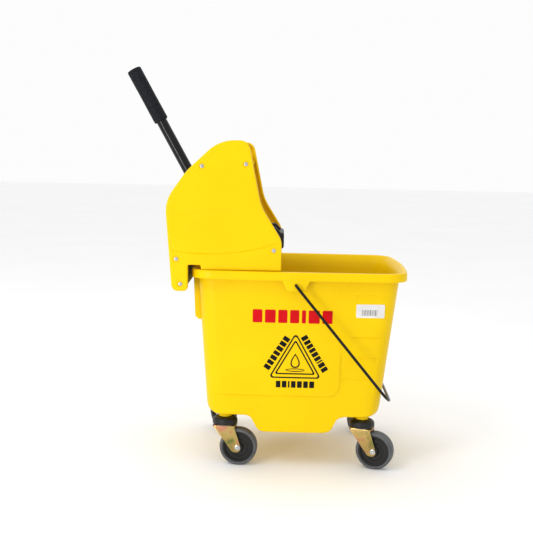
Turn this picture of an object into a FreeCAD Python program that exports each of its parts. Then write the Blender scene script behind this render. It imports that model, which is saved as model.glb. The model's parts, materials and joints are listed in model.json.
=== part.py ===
import FreeCAD, Part
import math
import os

# Mop bucket on four swivel casters, with a side-press wringer hooked over its back end.
# Frame: +X towards the bail end (front), +Y to the left of a person facing the front, +Z up.
# The origin is on the floor, below the centre of the bounding box. All sizes are in millimetres.

V = FreeCAD.Vector
UP = V(0, 0, 1)
ACROSS = V(0, 1, 0)

# ---- Driving dimensions -------------------------------------------------------------------

HALF_LENGTH = 292.5        # half of the overall length, from lever grip to front rim

# Bucket
RIM_TOP = 405.0            # height of the rim above the floor
RIM_DROP = 17.0            # height of the turned-down rim flange
RIM_BACK = -141.5          # back end of the rim
RIM_HALF_WIDTH = 184.0
RIM_CORNER = 45.0
RIM_SKIN = 3.5
WALL = 3.2                 # wall of the bucket
FLARE = 8.5                # how far the wall opens out inside the rim
MOUTH_BACK, MOUTH_FRONT, MOUTH_HALF_WIDTH = -129.0, 278.5, 166.0
FLOOR_BACK, FLOOR_FRONT, FLOOR_HALF_WIDTH = -109.0, 247.5, 144.0
WALL_CORNER = 36.0
SIDE_BOW = 6.0             # how far the long sides bow outwards
BACK_BOW = 1.5
FRONT_BOW = 13.0
FLOOR_Z = 108.5            # underside of the bucket beside the sump
SUMP_Z = 74.0              # underside of the sump
SUMP_TOP_BACK, SUMP_TOP_FRONT = -22.5, 160.5
SUMP_LOW_BACK, SUMP_LOW_FRONT = 5.5, 131.5
APRON_HALF_WIDTH = 118.0   # thickened band that the wringer's legs bear on
APRON_LOW = 298.0
WALL_LOW, WALL_HIGH = 146.0, 366.0  # where the moulding is divided into floor, wall and rim

# Bail
BAIL_WIRE_R = 2.9
BAIL_X, BAIL_Z = 65.5, 380.0
BAIL_ARM = 299.0
BAIL_DROP_DEG = 50.3       # how far the resting bail hangs below the horizontal
BAIL_HALF_WIDTH = 190.0
BAIL_BEND_R = 42.0
EAR_PLATE = 4.0

# Casters
WHEEL_R = 38.1
TYRE_WIDTH = 24.0
HUB_R = 31.5
TRAIL = 28.5               # from swivel axis to wheel axle
CASTER_BACK, CASTER_FRONT, CASTER_Y = -71.5, 207.5, 115.0
STEM_R = 5.5
FORK_TOP = 82.0
FORK_SHEET = 2.5
CAP_LOW, CAP_HIGH, CAP_R = 85.0, 99.0, 25.5
BOSS_R = 13.0

# Wringer
CHEEK_FACE = 172.0         # outer face of each cheek, from the middle
CHEEK_SKIN = 4.0
CHEEK_DEPTH = 14.0         # depth of the flange round the cheek's edge
CHEEK_EDGE = 4.0
SEAT_GAP = 0.2             # between the wringer and the rim it stands on
INSIDE = CHEEK_FACE - CHEEK_DEPTH - 0.2
SCREW_R = 2.5
SCREWS = {                 # screw positions, the same on both cheeks
    "tie_bar": (-120.5, 605.7),
    "front_high": (-35.8, 610.7),
    "front_low": (21.0, 445.0),
    "cover": (-168.5, 425.0),
    "rail": (-160.0, 376.0),
}

# Wringing gear
MODULE = 3.0
PINION_TEETH, SECTOR_TEETH = 26, 52
GEAR_Y = 139.0             # middle of each gear's width
GEAR_WIDTH = 9.0
AXLE_X, AXLE_Z = -133.0, 539.0
SHAFT_R = 8.0
HINGE_X = -93.5
HINGE_R = 6.0
LEVER_LEAN_DEG = 29.3      # resting lever, measured back from the vertical
LEVER_STROKE_DEG = 48.0
PRESS_LEAN_DEG = 7.0       # resting press plate, measured back from the vertical
PRESS_LENGTH = 161.0
PRESS_SHEET = 5.0
TUBE_R = 11.1
TUBE_WALL = 1.5
GRIP_R = 15.0
GRIP_LENGTH = 120.0
RUNNING = 0.05             # radial clearance of a turning fit
FIXED = 0.02               # radial clearance of a fixed fit

# ---- Sizes that follow from them ----------------------------------------------------------

RIM_LOW = RIM_TOP - RIM_DROP
SEAT_Z = RIM_TOP + SEAT_GAP
PITCH_R_PINION = MODULE * PINION_TEETH / 2
PITCH_R_SECTOR = MODULE * SECTOR_TEETH / 2
GEAR_CENTRES = PITCH_R_PINION + PITCH_R_SECTOR
HINGE_Z = AXLE_Z - math.sqrt(GEAR_CENTRES ** 2 - (HINGE_X - AXLE_X) ** 2)
MESH_DEG = math.degrees(math.atan2(AXLE_Z - HINGE_Z, AXLE_X - HINGE_X))
PRESS_STROKE_DEG = LEVER_STROKE_DEG * PINION_TEETH / SECTOR_TEETH
LEVER_DEG = 90 + LEVER_LEAN_DEG
LEVER_LENGTH = ((HALF_LENGTH + AXLE_X - GRIP_R * math.cos(math.radians(LEVER_LEAN_DEG)))
                / math.sin(math.radians(LEVER_LEAN_DEG)))

nodes = {}


# ---- Helpers ------------------------------------------------------------------------------

def polar(x, z, radius, degrees):
    """Point at a radius and an angle from (x, z), in the plane of the cheeks."""
    angle = math.radians(degrees)
    return V(x + radius * math.cos(angle), 0, z + radius * math.sin(angle))


def box(x0, x1, y0, y1, z0, z1):
    return Part.makeBox(x1 - x0, y1 - y0, z1 - z0, V(x0, y0, z0))


def rod(radius, start, end):
    """Round bar between two points."""
    along = end - start
    return Part.makeCylinder(radius, along.Length, start, along)


def rod_y(radius, x, z, y0, y1):
    """Round bar along Y."""
    return rod(radius, V(x, y0, z), V(x, y1, z))


def rod_z(radius, x, y, z0, z1):
    """Round bar along Z."""
    return rod(radius, V(x, y, z0), V(x, y, z1))


def outline(corners):
    """Closed outline in the XZ plane through (x, z, corner radius) points."""
    places = [V(x, 0, z) for x, z, radius in corners]
    turns = []
    for i, (x, z, radius) in enumerate(corners):
        here = places[i]
        if radius == 0:
            turns.append((here, None, here))
            continue
        backward = (places[i - 1] - here).normalize()
        forward = (places[(i + 1) % len(places)] - here).normalize()
        half = backward.getAngle(forward) / 2
        reach = radius / math.tan(half)
        inward = (backward + forward).normalize()
        crown = here + inward * (radius / math.sin(half) - radius)
        turns.append((here + backward * reach, crown, here + forward * reach))
    edges = []
    for i, (start, crown, end) in enumerate(turns):
        if crown is not None:
            edges.append(Part.Arc(start, crown, end).toShape())
        following = turns[(i + 1) % len(turns)][0]
        if end.distanceToPoint(following) > 1e-6:
            edges.append(Part.LineSegment(end, following).toShape())
    return Part.Wire(edges)


def prism(corners, y0, y1):
    """Solid with a rounded XZ outline, from y0 to y1."""
    solid = Part.Face(outline(corners)).extrude(V(0, y1 - y0, 0))
    solid.translate(V(0, y0, 0))
    return solid


def mirrored(shape):
    """The same piece on the other side of the middle plane."""
    return shape.mirror(V(0, 0, 0), ACROSS)


def turned(shape, x, z, degrees):
    """Turn a shape about an axis along Y; a positive angle goes from +X towards +Z."""
    copy = shape.copy()
    copy.rotate(V(x, 0, z), V(0, -1, 0), degrees)
    return copy


# ---- Bucket -------------------------------------------------------------------------------

def arc_radius(half_chord, rise):
    return (half_chord ** 2 + rise ** 2) / (2 * rise)


def circles_meet(centre_a, radius_a, centre_b, radius_b):
    """Meeting point, on the +Y side, of two circles in plan."""
    between = centre_b - centre_a
    gap = between.Length
    along = (radius_a ** 2 - radius_b ** 2 + gap ** 2) / (2 * gap)
    aside = math.sqrt(radius_a ** 2 - along ** 2)
    unit = between.normalize()
    side = V(-unit.y, unit.x, 0)
    if side.y < 0:
        side = side * -1
    return centre_a + unit * along + side * aside


def plan(z, back, front, half_width, corner):
    """Plan outline at height z: bowed sides and ends, joined by round corners."""
    middle = (back + front) / 2
    side_r = arc_radius((front - back) / 2, SIDE_BOW)
    side_centre = V(middle, half_width - side_r, 0)
    turns = []
    for end, bow, sign in ((front, FRONT_BOW, 1), (back, BACK_BOW, -1)):
        end_r = arc_radius(half_width, bow)
        end_centre = V(end - sign * end_r, 0, 0)
        heart = circles_meet(side_centre, side_r - corner, end_centre, end_r - corner)
        to_end = (heart - end_centre).normalize()
        to_side = (heart - side_centre).normalize()
        to_crown = (to_end + to_side).normalize()
        turns.append((heart + to_end * corner, heart + to_crown * corner, heart + to_side * corner))
    front_turn, back_turn = turns
    half = [front_turn, (front_turn[2], V(middle, half_width, 0), back_turn[2]), back_turn[::-1]]
    other = [tuple(V(p.x, -p.y, 0) for p in reversed(three)) for three in reversed(half)]
    back_end = (back_turn[0], V(back, 0, 0), other[0][0])
    front_end = (other[-1][2], V(front, 0, 0), front_turn[0])
    arcs = half + [back_end] + other + [front_end]
    wire = Part.Wire([Part.Arc(*three).toShape() for three in arcs])
    wire.translate(V(0, 0, z))
    return wire


def loft(low, high):
    return Part.makeLoft([low, high], True, True)


def wall_at(z, inset):
    """Plan of the tapering wall at any height, set in by inset."""
    t = (z - FLOOR_Z) / (RIM_LOW - FLOOR_Z)
    back = FLOOR_BACK + (MOUTH_BACK - FLOOR_BACK) * t + inset
    front = FLOOR_FRONT + (MOUTH_FRONT - FLOOR_FRONT) * t - inset
    half_width = FLOOR_HALF_WIDTH + (MOUTH_HALF_WIDTH - FLOOR_HALF_WIDTH) * t - inset
    return plan(z, back, front, half_width, WALL_CORNER - inset)


def end_profile(inset):
    """Bucket seen from the side, below the rim: flat floor with the sump under its middle."""
    floor = FLOOR_Z + inset
    sump = SUMP_Z + inset
    loose = 1.5 - inset
    return [
        (MOUTH_BACK - loose - 3, RIM_LOW + 30, 0),
        (FLOOR_BACK - loose, floor, 14),
        (SUMP_TOP_BACK + inset, floor, 16),
        (SUMP_LOW_BACK + inset, sump, 14),
        (SUMP_LOW_FRONT - inset, sump, 14),
        (SUMP_TOP_FRONT - inset, floor, 16),
        (FLOOR_FRONT + loose, floor, 14),
        (MOUTH_FRONT + loose + 3, RIM_LOW + 30, 0),
    ]


def vessel(inset):
    """Solid block with the shape of the bucket below the rim, set in by inset."""
    taper = loft(wall_at(SUMP_Z - 5, inset), wall_at(RIM_LOW, inset))
    return taper.common(prism(end_profile(inset), -RIM_HALF_WIDTH, RIM_HALF_WIDTH))


def flared_mouth(inset):
    """Short stretch inside the rim where the wall opens out."""
    low = wall_at(RIM_LOW, inset)
    high = plan(RIM_TOP, MOUTH_BACK - FLARE + inset, MOUTH_FRONT + FLARE - inset,
                MOUTH_HALF_WIDTH + FLARE - inset, WALL_CORNER + 4 - inset)
    return loft(low, high)


def rim_slab(inset, z0, z1):
    wire = plan(z0, RIM_BACK + inset, HALF_LENGTH - inset, RIM_HALF_WIDTH - inset,
                RIM_CORNER - inset)
    return Part.Face(wire).extrude(UP * (z1 - z0))


def make_bucket():
    outside = vessel(0).fuse([flared_mouth(0), rim_slab(0, RIM_TOP - RIM_SKIN, RIM_TOP)])
    skirt = rim_slab(0, RIM_LOW, RIM_TOP).cut(rim_slab(RIM_SKIN, RIM_LOW, RIM_TOP))
    apron = prism([(-139, RIM_LOW + 4, 0), (-135, 304, 4), (-127, APRON_LOW, 4),
                   (-117, APRON_LOW, 0), (-117, RIM_LOW + 4, 0)],
                  -APRON_HALF_WIDTH, APRON_HALF_WIDTH)
    added = [skirt, apron]
    ear = prism([(BAIL_X - 28, RIM_LOW + 4, 0), (BAIL_X - 17, 368, 6), (BAIL_X + 17, 368, 6),
                 (BAIL_X + 28, RIM_LOW + 4, 0)], 150, RIM_HALF_WIDTH - 0.5)
    pocket = box(BAIL_X - 13, BAIL_X + 13, MOUTH_HALF_WIDTH + 1, RIM_HALF_WIDTH - 0.5 - EAR_PLATE,
                 360, RIM_LOW + 6)
    hole = rod_y(BAIL_WIRE_R + RUNNING, BAIL_X, BAIL_Z, MOUTH_HALF_WIDTH + 4, RIM_HALF_WIDTH + 5)
    added += [ear, mirrored(ear)]
    cavity = vessel(WALL).fuse(flared_mouth(WALL))
    shell = outside.fuse(added).cut(cavity)
    towers = []
    sockets = []
    for x in (CASTER_BACK, CASTER_FRONT):
        for y in (-CASTER_Y, CASTER_Y):
            towers.append(rod_z(BOSS_R, x, y, 100, 143))
            sockets.append(rod_z(STEM_R + FIXED, x, y, 90, 138))
    shell = shell.fuse(towers)
    return shell.cut([pocket, mirrored(pocket), hole, mirrored(hole)] + sockets).removeSplitter()


def make_bail():
    """Bent wire: two arms, a crosspiece, and ends turned in through the ears."""
    head = MOUTH_HALF_WIDTH + 5.5
    small = 5.5
    arm = V(math.cos(math.radians(BAIL_DROP_DEG)), 0, -math.sin(math.radians(BAIL_DROP_DEG)))
    pivot = V(BAIL_X, 0, BAIL_Z)
    side = V(0, -BAIL_HALF_WIDTH, 0)
    quarter = 1 - math.sqrt(0.5)
    start = pivot + V(0, -head, 0)
    bend_in = pivot + side + ACROSS * small
    crown_in = pivot + side + (ACROSS + arm) * (small * quarter)
    bend_out = pivot + side + arm * small
    corner = pivot + side + arm * BAIL_ARM
    low_in = corner - arm * BAIL_BEND_R
    low_crown = corner + (ACROSS - arm) * (BAIL_BEND_R * quarter)
    low_out = corner + ACROSS * BAIL_BEND_R
    half = [
        Part.LineSegment(start, bend_in).toShape(),
        Part.Arc(bend_in, crown_in, bend_out).toShape(),
        Part.LineSegment(bend_out, low_in).toShape(),
        Part.Arc(low_in, low_crown, low_out).toShape(),
        Part.LineSegment(low_out, pivot + arm * BAIL_ARM).toShape(),
    ]
    section = Part.Wire(Part.makeCircle(BAIL_WIRE_R, start, ACROSS))
    wire = Part.Wire(half).makePipeShell([section], True, False)
    button = rod_y(4.2, BAIL_X, BAIL_Z, -head - 1.5, -head + 1.5)
    wire = wire.fuse(button)
    return wire.fuse(mirrored(wire)).removeSplitter()


# ---- Casters ------------------------------------------------------------------------------

def make_caster(name, x, y, trail_deg):
    """One swivel caster, whose wheel trails in the given direction."""
    axle_z = WHEEL_R
    plate = box(-24, 24, -16, 16, FORK_TOP - FORK_SHEET, FORK_TOP)
    plate = plate.makeFillet(7, [e for e in plate.Edges if abs(e.tangentAt(0).z) > 0.9])
    plate = plate.cut(rod_z(STEM_R + RUNNING, 0, 0, 60, 100))
    leg = prism([(-21, FORK_TOP - FORK_SHEET, 0), (TRAIL - 10.5, axle_z - 10, 9),
                 (TRAIL + 9.5, axle_z - 10, 9), (21, FORK_TOP - FORK_SHEET, 0)],
                16 - FORK_SHEET, 16)
    fork = plate.fuse([leg, mirrored(leg)]).cut(rod_y(4 + FIXED, TRAIL, axle_z, -20, 20))
    stem = rod_z(STEM_R, 0, 0, FORK_TOP - FORK_SHEET - 3, 136)
    stem = stem.fuse([rod_z(9, 0, 0, FORK_TOP - FORK_SHEET - 3.2, FORK_TOP - FORK_SHEET - 0.4)])
    cap = rod_z(CAP_R, 0, 0, CAP_LOW, CAP_HIGH)
    cap = cap.makeFillet(5, [e for e in cap.Edges if e.CenterOfMass.z > CAP_HIGH - 0.1
                             and len(e.Vertexes) == 1])
    cap = cap.cut([rod_z(CAP_R - 3, 0, 0, CAP_LOW, CAP_HIGH - 5), rod_z(STEM_R, 0, 0, 80, 110)])
    race = rod_z(21.5, 0, 0, FORK_TOP + 0.3, CAP_LOW + 6).cut(rod_z(STEM_R, 0, 0, 70, 110))
    race = race.cut(rod_z(17, 0, 0, FORK_TOP, CAP_LOW + 3).cut(rod_z(10, 0, 0, 70, 110)))
    axle = rod_y(4, TRAIL, axle_z, -17, 17).fuse([rod_y(6, TRAIL, axle_z, 16.05, 18.5),
                                                  rod_y(6, TRAIL, axle_z, -18.5, -16.05)])
    hub = rod_y(HUB_R, TRAIL, axle_z, -10.5, 10.5)
    hub = hub.cut([rod_y(HUB_R - 4, TRAIL, axle_z, 7.5, 12), rod_y(HUB_R - 4, TRAIL, axle_z, -12, -7.5)])
    hub = hub.fuse(rod_y(9.5, TRAIL, axle_z, -13, 13)).cut(rod_y(4 + RUNNING, TRAIL, axle_z, -20, 20))
    tyre = rod_y(WHEEL_R, TRAIL, axle_z, -TYRE_WIDTH / 2, TYRE_WIDTH / 2)
    tyre = tyre.makeFillet(4, [e for e in tyre.Edges if len(e.Vertexes) == 1])
    tyre = tyre.cut(rod_y(HUB_R + FIXED, TRAIL, axle_z, -20, 20))
    pieces = {"stem": stem, "cap": cap, "race": race, "fork": fork,
              "axle": axle, "hub": hub, "tyre": tyre}
    for piece, shape in pieces.items():
        shape.rotate(V(0, 0, 0), UP, trail_deg)
        shape.translate(V(x, y, 0))
        nodes[f"caster_{name}_{piece}"] = shape


# ---- Gears --------------------------------------------------------------------------------

def flank_angle(teeth, radius):
    """Angle from a tooth's middle to its involute flank, in radians, at a radius."""
    pressure = math.radians(20)
    pitch_r = MODULE * teeth / 2
    base_r = pitch_r * math.cos(pressure)
    backlash = 0.12
    half_tooth = (math.pi * MODULE / 2 - backlash) / 2 / pitch_r
    opening = math.acos(min(1.0, base_r / radius))
    return half_tooth + (math.tan(pressure) - pressure) - (math.tan(opening) - opening)


def tooth(teeth, x, z, degrees, y0, y1):
    """One involute tooth, pointing in the given direction."""
    pitch_r = MODULE * teeth / 2
    root_r = pitch_r - 1.25 * MODULE
    base_r = pitch_r * math.cos(math.radians(20))
    start_r = max(root_r, base_r)
    tip_r = pitch_r + 0.95 * MODULE
    steps = 6
    radii = [start_r + (tip_r - start_r) * i / steps for i in range(steps + 1)]
    rising = [polar(x, z, r, degrees - math.degrees(flank_angle(teeth, r))) for r in radii]
    falling = [polar(x, z, r, degrees + math.degrees(flank_angle(teeth, r))) for r in reversed(radii)]
    root = math.degrees(flank_angle(teeth, start_r))
    foot = [polar(x, z, root_r - 1, degrees + root), polar(x, z, root_r - 1, degrees - root)]
    wire = Part.makePolygon(rising + falling + foot + [rising[0]])
    solid = Part.Face(wire).extrude(V(0, y1 - y0, 0))
    solid.translate(V(0, y0, 0))
    return solid


def gear_segment(teeth, x, z, first_deg, count, hub_r, bore_r):
    """Toothed segment: count teeth from first_deg onwards, on a web round its own hub."""
    y0, y1 = GEAR_Y - GEAR_WIDTH / 2, GEAR_Y + GEAR_WIDTH / 2
    pitch_deg = 360 / teeth
    root_r = MODULE * teeth / 2 - 1.25 * MODULE
    low, high = first_deg - pitch_deg / 2, first_deg + (count - 0.5) * pitch_deg
    start, crown, end = (polar(x, z, root_r, a) for a in (low, (low + high) / 2, high))
    heart = V(x, 0, z)
    web = Part.Wire([Part.LineSegment(heart, start).toShape(), Part.Arc(start, crown, end).toShape(),
                     Part.LineSegment(end, heart).toShape()])
    web = Part.Face(web).extrude(V(0, y1 - y0, 0))
    web.translate(V(0, y0, 0))
    teeth_solids = [tooth(teeth, x, z, first_deg + i * pitch_deg, y0, y1) for i in range(count)]
    body = web.fuse(teeth_solids + [rod_y(hub_r, x, z, y0, y1)])
    return body.cut(rod_y(bore_r, x, z, y0 - 5, y1 + 5)).removeSplitter()


# ---- Wringer frame ------------------------------------------------------------------------

CHEEK = [                  # cheek seen from the side, clockwise from the bottom front corner
    (36.1, SEAT_Z, 2),
    (36.1, 464.4, 40),     # swell over the lift handle
    (-5.5, 530.8, 100),    # waist of the front edge
    (-32.0, 656.5, 20),    # front of the hump
    (-88.0, 655.5, 75),    # back of the hump
    (-150.5, 596.0, 150),
    (-191.5, 537.0, 70),   # shoulder
    (-176.8, 362.0, 12),   # leg
    (-146.0, 362.0, 8),
    (-146.0, 414.0, 3),    # notch over the rim
    (-121.5, 414.0, 3),
    (-119.5, SEAT_Z, 1),
]


def make_cheek():
    """Cheek on the -Y side: a skin with a flange turned in all round, and bosses inside."""
    wire = outline(CHEEK)
    solid = Part.Face(wire).extrude(V(0, CHEEK_DEPTH, 0))
    hollow = Part.Face(wire.makeOffset2D(-CHEEK_EDGE)).extrude(V(0, CHEEK_DEPTH, 0))
    hollow.translate(V(0, CHEEK_SKIN, 0))
    cheek = solid.cut(hollow)
    inner = CHEEK_DEPTH
    bosses = [rod_y(7, x, z, 1, inner) for x, z in SCREWS.values()]
    bosses += [rod_y(17, AXLE_X, AXLE_Z, 1, inner + 6), rod_y(13, HINGE_X, HINGE_Z, 1, inner + 6)]
    ribs = [box(-186, 30, CHEEK_SKIN - 1, CHEEK_DEPTH - 4, 470, 473),
            box(-180, -20, CHEEK_SKIN - 1, CHEEK_DEPTH - 4, 590, 593),
            box(-60, -57, CHEEK_SKIN - 1, CHEEK_DEPTH - 4, 408, 652)]
    outer = Part.Face(wire).extrude(V(0, CHEEK_DEPTH, 0))
    cheek = cheek.fuse(bosses + [rib.common(outer) for rib in ribs])
    cuts = [rod_y(SCREW_R + FIXED, x, z, -5, 40) for x, z in SCREWS.values()]
    cuts += [rod_y(6, x, z, -5, 0.8) for x, z in SCREWS.values()]
    cuts.append(rod_y(SHAFT_R + RUNNING, AXLE_X, AXLE_Z, CHEEK_SKIN, 40))
    cuts.append(rod_y(HINGE_R + FIXED, HINGE_X, HINGE_Z, CHEEK_SKIN, 40))
    cheek = cheek.cut(cuts).removeSplitter()
    cheek.translate(V(0, -CHEEK_FACE, 0))
    return cheek


def boss_pair(x, z, radius):
    """Screw boss at each end of a part that spans the cheeks."""
    near = rod_y(radius, x, z, -INSIDE, -INSIDE + 16)
    return [near, mirrored(near)]


def bored(shape, *names):
    """Drill the screw holes of the named positions into both ends of a shape."""
    holes = []
    for name in names:
        x, z = SCREWS[name]
        near = rod_y(SCREW_R + FIXED, x, z, -INSIDE - 5, -INSIDE + 13)
        holes += [near, mirrored(near)]
    return shape.cut(holes).removeSplitter()


def make_front_plate():
    """Fixed plate that the mop is pressed against, with wings reaching its lower screws."""
    sheet = 4.0
    face = [(12.0, 400.0), (12.0, 458.0), (-20.0, 520.0), (-37.0, 626.0)]
    radii = (0, 30, 90, 0)
    front = [(x, z, r) for (x, z), r in zip(face, radii)]
    back = [(x - sheet, z, r) for (x, z), r in zip(face, radii)]
    panel = prism(front + back[::-1], -INSIDE, INSIDE)
    wing = prism([(10, 432, 0), (28, 432, 6), (28, 456, 6), (10, 461, 0)], -INSIDE, -INSIDE + 12)
    plate = panel.fuse([wing, mirrored(wing)] + boss_pair(*SCREWS["front_high"], 7)
                       + boss_pair(*SCREWS["front_low"], 7))
    return bored(plate, "front_high", "front_low")


def make_back_cover():
    """Panel that closes the back below the lever's slot, down to the leg ends."""
    cover = prism([(-173.5, 366, 0), (-188.3, 528, 0), (-184.6, 528, 0), (-169.8, 366, 0)],
                  -INSIDE, INSIDE)
    pads = prism([(-178.0, 416, 0), (-178.0, 434, 0), (-168.5, 434, 0), (-168.5, 416, 0)],
                 -INSIDE, -INSIDE + 16)
    pads = pads.common(prism([(-177.0, 400, 0), (-182.0, 450, 0), (-160, 450, 0), (-160, 400, 0)],
                             -200, 200))
    cover = cover.fuse([pads, mirrored(pads)] + boss_pair(*SCREWS["cover"], 7))
    return bored(cover, "cover")


def make_drain_grille():
    """Slotted floor of the pressing chamber."""
    grille = box(-74, 7.8, -INSIDE, INSIDE, 406, 410)
    slots = []
    columns = 4
    for column in range(columns):
        x0 = -68 + column * 19
        for row in range(-3, 4):
            y0 = row * 43 - 17
            slots.append(box(x0, x0 + 10, y0, y0 + 34, 400, 415))
    hanger = box(-74, -70, -INSIDE, INSIDE, 398, 410)
    return grille.fuse(hanger).cut(slots).removeSplitter()


def make_hook_rail():
    """Cross rail between the two legs; it hooks behind the bucket's rim."""
    rail = prism([(-168, 366, 3), (-168, 388, 3), (-151, 388, 3), (-151, 366, 3)], -INSIDE, INSIDE)
    return bored(rail, "rail")


def make_lift_handle():
    """Bar for lifting the wringer off, held clear of the front plate by two arms."""
    bar = prism([(28.5, 438.5, 5.5), (28.5, 471, 5.5), (40.5, 471, 5.5), (40.5, 438.5, 5.5)], -62, 62)
    arm = prism([(12.2, 446, 0), (30, 441, 0), (35, 470, 2), (23, 482, 3), (3, 482, 0),
                 (12.2, 463, 0)], 50, 62)
    plate_face = prism([(12.05, 400, 0), (12.05, 458, 30), (-19.95, 520, 0), (-60, 520, 0),
                        (-60, 400, 0)], -80, 80)
    handle = bar.fuse([arm, mirrored(arm)]).cut(plate_face)
    return handle.removeSplitter()


def make_screws():
    """Pan-head screws of the -Y cheek."""
    screws = []
    for x, z in SCREWS.values():
        head = rod_y(4.6, x, z, -CHEEK_FACE - 1.2, -CHEEK_FACE + 0.8)
        shank = rod_y(SCREW_R, x, z, -CHEEK_FACE + 0.5, -CHEEK_FACE + 24)
        screws.append(head.fuse(shank))
    return Part.makeCompound(screws)


def make_tie_bar():
    x, z = SCREWS["tie_bar"]
    return bored(rod_y(6, x, z, -INSIDE, INSIDE), "tie_bar")


# ---- Lever and press ----------------------------------------------------------------------

def along_lever(distance):
    """Point on the lever's middle line, measured from the shaft."""
    return polar(AXLE_X, AXLE_Z, distance, LEVER_DEG)


def make_lever():
    socket = rod_y(20, AXLE_X, AXLE_Z, -26, 26).fuse(rod(15, along_lever(5), along_lever(58)))
    socket = socket.cut([rod_y(SHAFT_R + FIXED, AXLE_X, AXLE_Z, -30, 30),
                         rod(TUBE_R + FIXED, along_lever(14), along_lever(60))])
    pin_at = along_lever(44)
    pin = rod_y(3, pin_at.x, pin_at.z, -17.5, 17.5)
    pin_hole = rod_y(3 + FIXED, pin_at.x, pin_at.z, -20, 20)
    tube = rod(TUBE_R, along_lever(14), along_lever(LEVER_LENGTH - 4))
    tube = tube.cut([rod(TUBE_R - TUBE_WALL, along_lever(10), along_lever(LEVER_LENGTH)), pin_hole])
    grip = rod(GRIP_R, along_lever(LEVER_LENGTH - GRIP_LENGTH), along_lever(LEVER_LENGTH))
    grip = grip.cut(rod(TUBE_R + FIXED, along_lever(0), along_lever(LEVER_LENGTH - 4)))
    shaft_end = CHEEK_FACE - CHEEK_SKIN - 0.3
    clip_y = INSIDE - 6 - 0.5
    clip = rod_y(12, AXLE_X, AXLE_Z, clip_y - 1.5, clip_y)
    clip = clip.cut(rod_y(SHAFT_R + FIXED, AXLE_X, AXLE_Z, 100, 200))
    nodes["lever_socket"] = socket.cut(pin_hole).removeSplitter()
    nodes["lever_pin"] = pin
    nodes["lever_tube"] = tube
    nodes["lever_grip"] = grip
    nodes["lever_shaft"] = rod_y(SHAFT_R, AXLE_X, AXLE_Z, -shaft_end, shaft_end)
    nodes["shaft_clips"] = Part.makeCompound([clip, mirrored(clip)])


def make_gears():
    """Pinion segments on the shaft, meshing with the press plate's sectors."""
    pinion_pitch = 360 / PINION_TEETH
    sector_pitch = 360 / SECTOR_TEETH
    pinion_mesh = MESH_DEG - 180
    pinion_first = pinion_mesh - 4 * pinion_pitch
    sector_first = MESH_DEG - 0.5 * sector_pitch
    pinion = gear_segment(PINION_TEETH, AXLE_X, AXLE_Z, pinion_first, 6, 17, SHAFT_R + FIXED)
    sector = gear_segment(SECTOR_TEETH, HINGE_X, HINGE_Z, sector_first, 5, 12.5, HINGE_R + RUNNING)
    foot = prism([(HINGE_X - 4, HINGE_Z + 4, 0), (HINGE_X - 14, HINGE_Z + 66, 4),
                  (HINGE_X - 34, HINGE_Z + 62, 4), (HINGE_X - 20, HINGE_Z + 8, 0)],
                 GEAR_Y - GEAR_WIDTH / 2, GEAR_Y + GEAR_WIDTH / 2)
    foot = foot.cut(rod_y(HINGE_R + RUNNING, HINGE_X, HINGE_Z, 0, 200))
    sector = sector.fuse(foot).cut(press_sheet(RUNNING)).removeSplitter()
    nodes["pinion_far"] = pinion
    nodes["pinion_near"] = mirrored(pinion)
    nodes["sector_far"] = sector
    nodes["sector_near"] = mirrored(sector)


def press_sheet(allowance):
    """Press plate's flat sheet, thickened by an allowance when it is used to cut a neighbour."""
    half = PRESS_SHEET / 2 + allowance
    flat = prism([(HINGE_X - half, HINGE_Z, 0), (HINGE_X + half, HINGE_Z, 0),
                  (HINGE_X + half, HINGE_Z + PRESS_LENGTH, 2),
                  (HINGE_X - half, HINGE_Z + PRESS_LENGTH, 2)], -148 - allowance, 148 + allowance)
    return turned(flat, HINGE_X, HINGE_Z, PRESS_LEAN_DEG)


def make_press():
    """Swinging plate that squeezes the mop, on a barrel round the hinge rod."""
    gap_low = GEAR_Y - GEAR_WIDTH / 2 - 0.3
    barrel = rod_y(10, HINGE_X, HINGE_Z, -gap_low, gap_low)
    room = rod_y(13, HINGE_X, HINGE_Z, gap_low, 200)
    bore = rod_y(HINGE_R + RUNNING, HINGE_X, HINGE_Z, -200, 200)
    plate = press_sheet(0).fuse(barrel).cut([bore, room, mirrored(room)])
    nodes["press_plate"] = plate.removeSplitter()
    nodes["hinge_rod"] = rod_y(HINGE_R, HINGE_X, HINGE_Z, -(CHEEK_FACE - CHEEK_SKIN - 0.3),
                               CHEEK_FACE - CHEEK_SKIN - 0.3)


def make_return_spring():
    """Torsion spring on the shaft beside the -Y pinion, with one leg back to the tie bar side."""
    wire_r, coil_r, turns = 1.3, 11.5, 5
    y0 = -GEAR_Y + GEAR_WIDTH / 2 + 3
    pitch = 2 * wire_r + 0.7
    helix = Part.makeHelix(pitch, pitch * turns, coil_r)
    section = Part.Wire(Part.makeCircle(wire_r, V(coil_r, 0, 0), V(0, 1, 0)))
    coil = Part.Wire(helix).makePipeShell([section], True, True)
    coil.rotate(V(0, 0, 0), V(1, 0, 0), -90)
    coil.translate(V(AXLE_X, y0, AXLE_Z))
    return coil


# ---- Assembly -----------------------------------------------------------------------------

bucket = make_bucket()
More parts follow.
